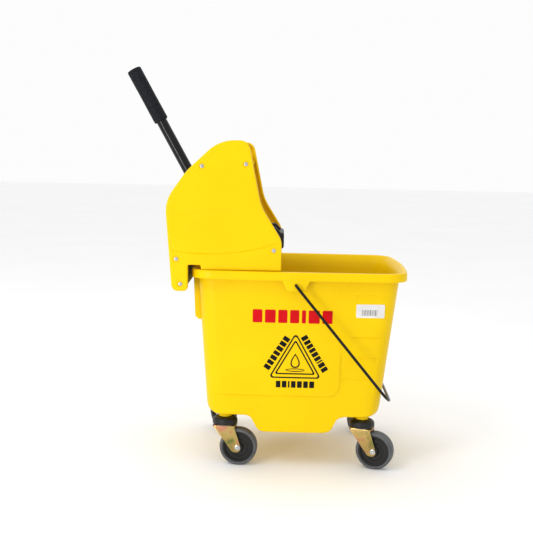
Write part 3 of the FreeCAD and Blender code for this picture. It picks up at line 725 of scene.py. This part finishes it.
def divided(loop, longest):
    """The same closed loop with its long edges divided."""
    points = []
    for i, point in enumerate(loop):
        following = loop[(i + 1) % len(loop)]
        count = max(1, math.ceil((following - point).length / longest))
        points += [point.lerp(following, k / count) for k in range(count)]
    return points


def laid_on_wall(loops, proud, pitch=6.0):
    """A thin skin in the shape of the loops: a face proud of the near wall, with a rim that runs into it."""
    loops = [divided(loop, pitch) for loop in loops]
    places, faces = filled(loops, pitch)
    top = [Vector((p.x, -(wall_y(p.x, p.y) + proud), p.y)) for p in places]
    under = [p + Vector((0, proud + 0.15, 0)) for p in top]
    count = len(top)
    sides, start = [], 0
    for loop in loops:
        size = len(loop)
        sides += [[start + i, start + (i + 1) % size, count + start + (i + 1) % size, count + start + i]
                  for i in range(size)]
        start += size
    return top + under, [list(f) for f in faces] + [[count + i for i in f] for f in faces] + sides


def block(x0, x1, z0, z1, radius=0.6, lean=0.0):
    """Rounded upright block; lean turns it about its own middle, in degrees."""
    heart = Vector(((x0 + x1) / 2, (z0 + z1) / 2))
    spin = Matrix.Rotation(math.radians(lean), 2)
    loop = outline([(x0, z0, radius), (x1, z0, radius), (x1, z1, radius), (x0, z1, radius)], 3)
    return [heart + spin @ (p - heart) for p in loop]


# %% Red row, triangle, drop and black rows
INK = 0.25
RED_WIDTHS = (19, 21, 18, 18, 8, 22, 20)
red_parts, x = [], -18.0
for width in RED_WIDTHS:
    red_parts.append(laid_on_wall([block(x, x + width, 301.5, 328, 2.2)], INK))
    x += width + 5.2
settle(build("red_marks", red_parts, red_ink, 30), "bucket", "yellow_plastic")


SIGN_X = 67.8


def triangle(width, base_z, apex_z, radius):
    feet = [(SIGN_X + x, base_z, radius) for x in (-width / 2, width / 2)]
    return outline(feet + [(SIGN_X, apex_z, radius)], 6)


def rows_of_blocks(start, end, height, widths):
    """Small upright blocks in a row from start to end, standing square to that line."""
    start, end = Vector(start), Vector(end)
    along = (end - start).normalized()
    lean = math.degrees(math.atan2(along.y, along.x))
    gap = ((end - start).length - sum(widths)) / (len(widths) - 1)
    loops, reached = [], 0.0
    for width in widths:
        x, z = start + along * (reached + width / 2) + Vector((-along.y, along.x)) * height / 2
        loops.append(block(x - width / 2, x + width / 2, z - height / 2, z + height / 2, 0.7, lean))
        reached += width + gap
    return loops


def shrunk(loop, z, wide, high):
    """A smaller copy of a loop about the sign's middle line and the height z."""
    return [Vector((SIGN_X + (p.x - SIGN_X) * wide, z + (p.y - z) * high)) for p in loop]


ANGLES = [2 * math.pi * i / 40 for i in range(40)]
drop = [Vector((SIGN_X + 12.5 * math.sin(a) * abs(math.cos(a / 2)) ** 1.2, 225 - 15 * math.cos(a)))
        for a in ANGLES]
ripple = [Vector((SIGN_X + 19 * math.cos(a), 205.6 + 3.42 * math.sin(a))) for a in ANGLES]
marks = [[triangle(105, 188.7, 282.8, 5), triangle(95.5, 191.4, 277.2, 3.4)],
         [triangle(82, 196.6, 268.8, 3), triangle(72.5, 199.3, 263.2, 1.6)],
         [drop, shrunk(drop, 222.6, 0.72, 0.78)],
         [ripple, shrunk(ripple, 205.6, 0.9, 0.5)]]
for row in (((30.5, 169.2), (106.7, 169.2), 13.6, (9, 9, 3.2, 9, 9.4, 9, 9.6)),
            ((16, 204), (57.5, 269), 13.4, (8.8, 8.2, 8.6, 7.6, 8.8, 8.8, 9)),
            ((77.5, 271.8), (122.5, 201), 13.4, (8.6, 7.2, 7.2, 7, 8, 7.2, 2.8, 8.6, 8.2))):
    marks += [[loop] for loop in rows_of_blocks(*row)]
black_parts = [laid_on_wall(loops, INK) for loops in marks]
settle(build("black_marks", black_parts, black_ink, 30), "bucket", "black_plastic")

# %% Blank stock label
label = build("stock_label", [laid_on_wall([block(185.2, 241, 315, 342, 2)], 0.22)], paper, 30)
settle(label, "bucket", "yellow_plastic")
STRIPES = ((1.4, 1.5), (0.7, 1.2), (2.2, 1.3), (0.7, 1.6), (1.5, 1.1), (0.8, 1.3), (2.0, 1.6), (0.7, 1.1),
           (1.3, 1.5), (0.8, 1.2), (2.0, 1.4), (0.9, 1.0))
stripes, x = [], 196.5
for width, gap in STRIPES:
    stripes.append(laid_on_wall([block(x, x + width, 319.5, 331, 0.1)], 0.34))
    x += width + gap
settle(build("label_stripes", stripes, grey_ink, 30), "bucket", "yellow_plastic")

# %% [markdown]
# ## The bail
#
# The bail is one length of coated wire: two arms, a crosspiece and ends that hook through the ears. A
# curve with a round bevel would do, but its ends would be open, so the wire is swept along points with
# rounded corners and closed at both ends.

# %% Wire along a rounded path


def rounded_path(corners, steps=8):
    """Points along a path of (place, bend radius) corners."""
    path = [Vector(corners[0][0])]
    for (before, _), (here, radius), (after, _) in zip(corners, corners[1:], corners[2:]):
        here = Vector(here)
        backward, forward = (Vector(before) - here).normalized(), (Vector(after) - here).normalized()
        half = backward.angle(forward) / 2
        heart = here + (backward + forward).normalized() * (radius / math.sin(half))
        start, end = here + backward * radius / math.tan(half), here + forward * radius / math.tan(half)
        for i in range(steps + 1):
            spoke = (start - heart).slerp(end - heart, i / steps)
            path.append(heart + spoke.normalized() * radius)
    return path + [Vector(corners[-1][0])]


BAIL_R, BAIL_ARM, BAIL_HALF, BAIL_DROP = 2.9, 299.0, 190.0, math.radians(50.3)
pivot = Vector(JOINTS["bail_swing"]["pos_m"]) / MM
arm = Vector((math.cos(BAIL_DROP), 0, -math.sin(BAIL_DROP)))
across = Vector((0, 1, 0))
foot = pivot + arm * BAIL_ARM
side = across * BAIL_HALF
end = across * 171.5
bail_path = rounded_path([(pivot - end, 0), (pivot - side, 5.5), (foot - side, 42), (foot + side, 42),
                          (pivot + side, 5.5), (pivot + end, 0)])
BUTTON = softened([(0, 0.5), (0, 4.2), (3, 4.2), (3, 0.5)], 0.6)
buttons = [turned(BUTTON, pivot + across * y, pivot + across * (y + 3), 24) for y in (-173, 170)]
bail = build("bail_handle", [wire(bail_path, BAIL_R, 18)] + buttons, wire_coat, 40)
settle(bail, "bail", "black_wire", "bail_wire")

# %% [markdown]
# ## Casters
#
# Each caster has a pressed, yellow-chromated fork, a bright ball race under a black dust cap, a riveted
# axle and a wheel with a grey tyre on a black hub. The wheel, cap, race and rivet are round, so their
# profiles are turned. The fork keeps the CAD sheet and only gets broken edges.

# %% Four casters
HUB = both_ends([(0, 4.1), (0, 9.5), (4.6, 10.4), (5.5, 11.4), (5.5, 16.4), (4.6, 17.2), (4.6, 19.4),
                 (5.5, 20.2), (5.5, 26.4), (2.5, 27.4), (2.5, 31.48)], 26) + [(0, 4.1)]
TYRE = both_ends([(0.8, 31.54), (0, 32.4), (0, 34.2), (0.25, 35.4), (1.0, 36.6), (2.2, 37.5), (4.0, 38.0),
                  (7.0, 38.1)], 24) + [(0.8, 31.54)]
RIVET = both_ends([(1.3, 0.2), (1.1, 1.7), (0.1, 2.4), (0, 4.4), (0.5, 5.6), (1.4, 6.0), (2.4, 6.0),
                   (2.4, 3.95)], 37)
CAP = [(0, 22.5), (0, 25.5), (9.5, 25.5), (14, 20.5), (14, 5.6), (9, 5.6), (9, 21.5), (0, 22.5)]
RACE = [(0, 10.2), (0, 5.6), (8.6, 5.6), (8.6, 20.2), (7.6, 21.5), (1.6, 21.5), (0, 19.6), (0, 17.2),
        (2.6, 17.0), (2.6, 10.4), (0, 10.2)]
STEM = [(0, 0.5), (0, 8.2), (0.8, 9.0), (2.8, 9.0), (2.8, 5.48), (59.4, 5.48), (59.4, 0.5)]
CASTER_PARTS = (
    ("hub", softened(HUB, 0.5, 2), "wheel_", "black_plastic", black, -13, 13),
    ("tyre", TYRE, "wheel_", "grey_tyre", tyre_grey, -12, 12),
    ("axle", RIVET, "swivel_", "bright_steel", steel, -18.5, 18.5),
    ("cap", softened(CAP, 3.5), "", "black_plastic", black, 85, 99),
    ("race", RACE, "", "bright_steel", steel, 82.3, 91),
    ("stem", STEM, "", "bright_steel", steel, 76.4, 136),
)
for name, swivel_at in caster_places.items():
    roll = JOINTS["roll_" + name]
    rolling = Vector(roll["pos_m"]) / MM, Vector(roll["axis"])
    standing = Vector((swivel_at.x, swivel_at.y, 0)), Vector((0, 0, 1))
    for part, profile, body, slot_name, look, low, high in CASTER_PARTS:
        heart, along = rolling if body else standing
        shape = turned(profile, heart + along * low, heart + along * high, 72)
        piece = build("caster_" + part + "_" + name, [shape], look, 32)
        settle(piece, body + name if body else "bucket", slot_name, "caster_" + name + "_" + part)
    fork = edged("caster_" + name + "_fork", "fork_" + name, chromate, 0.55)
    settle(fork, "swivel_" + name, "yellow_zinc", "caster_" + name + "_fork")

# %% [markdown]
# ## The wringer's cheeks
#
# The two cheeks are shallow trays: a broad face with a flange turned in all round, bosses for screws and
# axles, and ribs inside. The face is filled with small triangles between its outline and a grid, so that
# a part line, a soft crease and the screw seats can be pressed into it.

# %% Outline and relief of a cheek
CHEEK_FACE, CHEEK_DEPTH, CHEEK_SKIN, CHEEK_WALL = 172.0, 14.0, 4.0, 4.0
SEAT = 405.2
CHEEK = [(36.1, SEAT, 2), (36.1, 464.4, 40), (-5.5, 530.8, 100), (-32, 656.5, 20), (-88, 655.5, 75),
         (-150.5, 596, 150), (-191.5, 537, 70), (-176.8, 362, 12), (-146, 362, 8), (-146, 414, 3),
         (-121.5, 414, 3), (-119.5, SEAT, 1)]
SCREWS = [(-120.5, 605.7), (-35.8, 610.7), (21, 445), (-168.5, 425), (-160, 376)]
AXLE, HINGE = (Vector(JOINTS[name]["pos_m"]) / MM for name in ("lever_swing", "press_swing"))


def part_line(x):
    return 436 + 0.0012 * (x + 110) ** 2


def crease(x):
    return 526.5 - 0.00095 * (x + 45) ** 2


def face_relief(x, z):
    """How far the cheek's face is pressed in."""
    for sx, sz in SCREWS:
        if math.hypot(x - sx, z - sz) < 5.9:
            return 1.8
    line = 1.3 * math.exp(-((z - part_line(x)) / 0.75) ** 2)
    below = crease(x) - z
    fade = (1 - smooth(-70, -25, x)) * smooth(-189, -160, x)
    fold = 1.1 * smooth(-0.5, 3.5, below) * (1 - smooth(6, 70, below)) * fade
    return line + fold


def circle(x, z, radius, steps=24):
    angles = [2 * math.pi * i / steps for i in range(steps)]
    return [Vector((x + radius * math.cos(a), z + radius * math.sin(a))) for a in angles]


# %% Build the near cheek, then mirror it
EDGE = 2.4
fine = [(x, part_line(x) + d) for x in spaced((-178, 33, 5))
        for d in (-2.4, -1.3, -0.8, -0.4, 0, 0.4, 0.8, 1.3, 2.4)]
fine += [(x, crease(x) + d) for x in spaced((-185, -25, 7)) for d in (-4.5, -3, -1.5, 0, 1.5)]
fine += [p for sx, sz in SCREWS for radius in (5.8, 6.4) for p in circle(sx, sz, radius)]
places, faces = filled([outline(inset(CHEEK, EDGE), 10)], 6.5, fine)
count = len(outline(CHEEK, 10))
cheek_points = [Vector((p.x, -CHEEK_FACE + face_relief(p.x, p.y) * (i >= count), p.y))
                for i, p in enumerate(places)]
cheek_faces = [list(f) for f in faces]
previous = 0
for distance, depth in ((EDGE * 0.62, 0.18), (EDGE * 0.29, 0.7), (EDGE * 0.08, 1.5), (0, EDGE),
                        (0, CHEEK_DEPTH - 0.8), (0.8, CHEEK_DEPTH), (CHEEK_WALL - 0.6, CHEEK_DEPTH),
                        (CHEEK_WALL, CHEEK_DEPTH - 0.6), (CHEEK_WALL, CHEEK_SKIN)):
    ring = outline(inset(CHEEK, distance), 10)
    start = len(cheek_points)
    cheek_points += [Vector((p.x, -CHEEK_FACE + depth, p.y)) for p in ring]
    cheek_faces += loop_faces(count, previous, start)
    previous = start
cheek_faces.append([previous + i for i in range(count)])
bosses = []
for x, z, radius, taper, bore, length, soft, steps in [
    *((x, z, 7, 0.3, 2.55, CHEEK_DEPTH - 1.2, 0.6, 28) for x, z in SCREWS),
    (AXLE.x, AXLE.z, 17, 0.5, 8.1, 18.8, 1.0, 48),
    (HINGE.x, HINGE.z, 13, 0.5, 6.1, 18.8, 1.0, 48),
]:
    profile = [(0, bore), (0, radius), (length, radius - taper), (length, bore), (0, bore)]
    foot_y = -CHEEK_FACE + 1.2
    bosses.append(turned(softened(profile, soft), (x, foot_y, z), (x, foot_y + length, z), steps))
ribs = [plate([(x0, z0, 0.5), (x1, z0, 0.5), (x1, z1, 0.5), (x0, z1, 0.5)],
              -CHEEK_FACE + 3, -CHEEK_FACE + 10, 0.6)
        for x0, x1, z0, z1 in ((-181, 22, 470, 473), (-143, -28, 590, 593), (-60, -57, 410, 650))]
near_cheek = [(cheek_points, cheek_faces)] + bosses + ribs
for name, parts in (("near", near_cheek), ("far", [other_side(part) for part in near_cheek])):
    settle(build("cheek_panel_" + name, parts, yellow, 34), "wringer", "yellow_plastic", "cheek_" + name)

# %% [markdown]
# ## Things that repeat
#
# Ten screws and several hundred drain holes are copies of one shape at listed places. A small Geometry
# Nodes tree does that: it instances a pattern object on points, spins each copy by a seeded random angle,
# and realizes the result. The finished mesh is then taken off the modifier, one for each body.

# %% Tree that puts copies on points


def repeat_tree():
    """Geometry Nodes tree with named inputs that copies an object onto points."""
    tree = bpy.data.node_groups.new("copies_on_points", "GeometryNodeTree")
    for label, kind, way in (("Points", "Geometry", "INPUT"), ("Pattern", "Object", "INPUT"),
                             ("Size", "Float", "INPUT"), ("Spin", "Float", "INPUT"), ("Seed", "Int", "INPUT"),
                             ("Finish", "Material", "INPUT"), ("Copies", "Geometry", "OUTPUT")):
        tree.interface.new_socket(name=label, in_out=way, socket_type="NodeSocket" + kind)
    kinds = {"start": "NodeGroupInput", "pattern": "GeometryNodeObjectInfo",
             "facing": "GeometryNodeInputNamedAttribute", "random": "FunctionNodeRandomValue",
             "spin": "ShaderNodeCombineXYZ", "copies": "GeometryNodeInstanceOnPoints",
             "turn": "GeometryNodeRotateInstances", "real": "GeometryNodeRealizeInstances",
             "finish": "GeometryNodeSetMaterial", "end": "NodeGroupOutput"}
    made = {label: tree.nodes.new(kind) for label, kind in kinds.items()}
    made["facing"].data_type = "FLOAT_VECTOR"
    made["facing"].inputs["Name"].default_value = "facing"
    made["random"].data_type = "FLOAT"
    for source, out, target, into in (
        ("start", "Points", "copies", "Points"), ("start", "Pattern", "pattern", "Object"),
        ("pattern", "Geometry", "copies", "Instance"), ("facing", "Attribute", "copies", "Rotation"),
        ("start", "Size", "copies", "Scale"), ("start", "Seed", "random", "Seed"),
        ("copies", "Instances", "turn", "Instances"), ("spin", "Vector", "turn", "Rotation"),
        ("turn", "Instances", "real", "Geometry"), ("real", "Geometry", "finish", "Geometry"),
        ("start", "Finish", "finish", "Material"), ("finish", "Geometry", "end", "Copies"),
    ):
        tree.links.new(made[source].outputs[out], made[target].inputs[into])
    low, high = [s for s in made["random"].inputs if s.name in ("Min", "Max") and s.type == "VALUE"]
    low.default_value = 0.0
    tree.links.new(made["start"].outputs["Spin"], high)
    value = next(s for s in made["random"].outputs if s.type == "VALUE")
    tree.links.new(value, made["spin"].inputs["Y"])
    return tree


COPIES = repeat_tree()


def copies(name, pattern, places, facings, look, spin=0.0, seed=1):
    """Copies of a pattern at places, with a facing in radians for each, as one plain mesh object."""
    master = build(name + "_pattern", [pattern], look, 34)
    mesh = bpy.data.meshes.new(name)
    mesh.from_pydata([Vector(p) * MM for p in places], [], [])
    facing = mesh.attributes.new("facing", "FLOAT_VECTOR", "POINT")
    facing.data.foreach_set("vector", [v for f in facings for v in f])
    holder = bpy.data.objects.new(name, mesh)
    scene.collection.objects.link(holder)
    modifier = holder.modifiers.new("copies", "NODES")
    modifier.node_group = COPIES
    values = {"Pattern": master, "Size": 1.0, "Spin": spin, "Seed": seed, "Finish": look}
    for item in COPIES.interface.items_tree:
        if item.item_type == "SOCKET" and item.name in values:
            modifier[item.identifier] = values[item.name]
    applied(holder)
    bpy.data.objects.remove(master)
    print(name, "has", len(places), "copies")
    return holder


# %% Screws with a cross recess
CROSS = [(x, z, 0.25) for x, z in ((0.45, 0.45), (0.45, 2.2), (-0.45, 2.2), (-0.45, 0.45), (-2.2, 0.45),
                                   (-2.2, -0.45), (-0.45, -0.45), (-0.45, -2.2), (0.45, -2.2),
                                   (0.45, -0.45), (2.2, -0.45), (2.2, 0.45))]
cross = outline(CROSS, 2)
places, faces = filled([circle(0, 0, 3.1, 32), cross], 9)
head_points = [Vector((p.x, 0.1, p.y)) for p in places]
head_faces = [list(f) for f in faces]
previous = 0
for radius, y in ((3.7, 0.35), (4.0, 0.8), (4.0, 1.7), (2.45, 1.7), (2.45, 23)):
    start = len(head_points)
    head_points += [Vector((p.x, y, p.y)) for p in circle(0, 0, radius, 32)]
    head_faces += loop_faces(32, previous, start)
    previous = start
head_faces.append([previous + i for i in range(32)])
start = len(head_points)
head_points += [Vector((p.x * 0.8, 1.3, p.y * 0.8)) for p in cross]
head_faces += loop_faces(len(cross), 32, start) + [[start + i for i in range(len(cross))]]
screw_places = [(x, -CHEEK_FACE, z) for x, z in SCREWS] + [(x, CHEEK_FACE, z) for x, z in SCREWS]
facings = [(0, 0, 0)] * len(SCREWS) + [(0, 0, math.pi)] * len(SCREWS)
screws = copies("cheek_screws", (head_points, head_faces), screw_places, facings, steel, math.pi / 2, 7)
settle(screws, "wringer", "bright_steel", "screws_near", "screws_far")

# %% [markdown]
# ## Plates, rails and the drain
#
# The flat parts between the cheeks keep their CAD shape with broken edges. The two pressing plates also
# get their rows of drain holes: pegs copied onto a grid are taken away from the sheet before its edges
# are rounded, so that every hole has a soft rim too.

# %% Holes through a CAD sheet


def peg(radius, length):
    """Short bar along X, for cutting a hole."""
    return turned([(0, radius), (length, radius)], (-length / 2, 0, 0), (length / 2, 0, 0), 16)


def drilled(node, name, look, width, holes, turn=0.0, radius=5.0):
    """CAD sheet with drain holes at (x, y, z) places, bored along X after a turn about Y."""
    cutter = copies(name + "_pegs", peg(radius, 16), holes, [(0, turn, 0)] * len(holes), look)
    return edged(node, name, look, width, cutter)


press_lean = math.radians(7)
up_plate = Vector((-math.sin(press_lean), 0, math.cos(press_lean)))
press_holes = [HINGE + up_plate * (26 + 18 * row) + across * (column * 18 - 126 + 9 * (row % 2))
               for row in range(8) for column in range(15 - row % 2)]
pressing_plate = drilled("press_plate", "pressing_plate", yellow, 0.9, press_holes, -press_lean)
settle(pressing_plate, "press", "yellow_plastic", "press_plate")
front_holes = [(10 - 32 * share_of(458, 520, z) - 17 * share_of(520, 626, z), y, z)
               for z in range(478, 603, 18) for y in range(-126, 127, 18)]
facing_plate = drilled("front_plate", "facing_plate", yellow, 0.9, front_holes)
settle(facing_plate, "wringer", "yellow_plastic", "front_plate")

# %% Parts that only need their edges broken
for node, name, look, slot_name, width, body in (
    ("back_cover", "rear_cover", yellow, "yellow_plastic", 1.0, "wringer"),
    ("drain_grille", "drain_slots", yellow, "yellow_plastic", 0.8, "wringer"),
    ("hook_rail", "rear_hook_rail", black, "black_plastic", 1.2, "wringer"),
    ("lift_handle", "lifting_handle", black, "black_plastic", 1.2, "wringer"),
    ("lever_socket", "lever_hub", black, "black_plastic", 1.0, "lever"),
    ("pinion_near", "pinion_segment_near", black, "black_plastic", 0.35, "lever"),
    ("pinion_far", "pinion_segment_far", black, "black_plastic", 0.35, "lever"),
    ("sector_near", "gear_sector_near", black, "black_plastic", 0.35, "press"),
    ("sector_far", "gear_sector_far", black, "black_plastic", 0.35, "press"),
    ("shaft_clips", "retaining_clips", spring, "spring_steel", 0.2, "lever"),
):
    settle(edged(node, name, look, width), body, slot_name, node)

# %% [markdown]
# ## Lever, shafts and springs
#
# The lever is a thin-walled enamelled tube with a rubber grip pushed over its end. Shafts and tubes are
# turned along their own line. The grip's end is domed a little, and its open end has a soft lip.

# %% Turned bars
LEAN = math.radians(29.3)
up_lever = Vector((-math.sin(LEAN), 0, math.cos(LEAN)))
tip = (AXLE.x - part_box("lever_grip")[0].x / MM - 15 * math.cos(LEAN)) / math.sin(LEAN)
GRIP = [(0, 11.14), (0, 13.2), (1.2, 14.6), (3.5, 15), (30, 14.9), (60, 14.75), (90, 14.9), (116.5, 15),
        (118.6, 14.4), (119.7, 12.8), (120, 10.5), (120, 0.5)]
TUBE = both_ends([(0, 9.7), (0, 10.9), (0.3, 11.1)], tip - 18) + [(0, 9.7)]
PIN = both_ends([(0, 0.4), (0, 2.6), (0.5, 3)], 35)
SHAFT = both_ends([(0, 0.5), (0, 7.2), (0.8, 8)], 335.4)
ROD = both_ends([(0, 0.5), (0, 5.4), (0.6, 6)], 335.4)
TIE = both_ends([(0, 2.55), (0, 5.4), (0.6, 6)], 315.6)
pin_at = AXLE + up_lever * 44
tie_at = Vector((SCREWS[0][0], 0, SCREWS[0][1]))
for name, profile, heart, along, low, high, look, slot_name, body, node in (
    ("lever_bar", TUBE, AXLE, up_lever, 14, tip - 4, enamel, "black_enamel", "lever", "lever_tube"),
    ("lever_hand_grip", GRIP, AXLE, up_lever, tip - 120, tip, rubber, "black_rubber", "lever", "lever_grip"),
    ("lever_cross_pin", PIN, pin_at, across, -17.5, 17.5, steel, "bright_steel", "lever", "lever_pin"),
    ("lever_axle", SHAFT, AXLE, across, -167.7, 167.7, steel, "bright_steel", "lever", "lever_shaft"),
    ("hinge_bar", ROD, HINGE, across, -167.7, 167.7, steel, "bright_steel", "wringer", "hinge_rod"),
    ("cross_tie", TIE, tie_at, across, -157.8, 157.8, steel, "bright_steel", "wringer", "tie_bar"),
):
    shape = turned(profile, heart + along * low, heart + along * high, 64)
    settle(build(name, [shape], look, 32), body, slot_name, node)

# %% Return springs
for name, side in (("near", -1), ("far", 1)):
    low, high = (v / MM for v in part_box("return_spring_" + name))
    turns, start_y, run = 5, min(abs(low.y), abs(high.y)) + 1.3, high.y - low.y - 2.6
    helix = [AXLE + Vector((11.5 * math.cos(a), side * (start_y + run * a / (2 * math.pi * turns)),
                            11.5 * math.sin(a)))
             for a in (2 * math.pi * turns * i / 160 for i in range(161))]
    settle(build("torsion_spring_" + name, [wire(helix, 1.3, 12)], spring, 40), "wringer", "spring_steel",
           "return_spring_" + name)
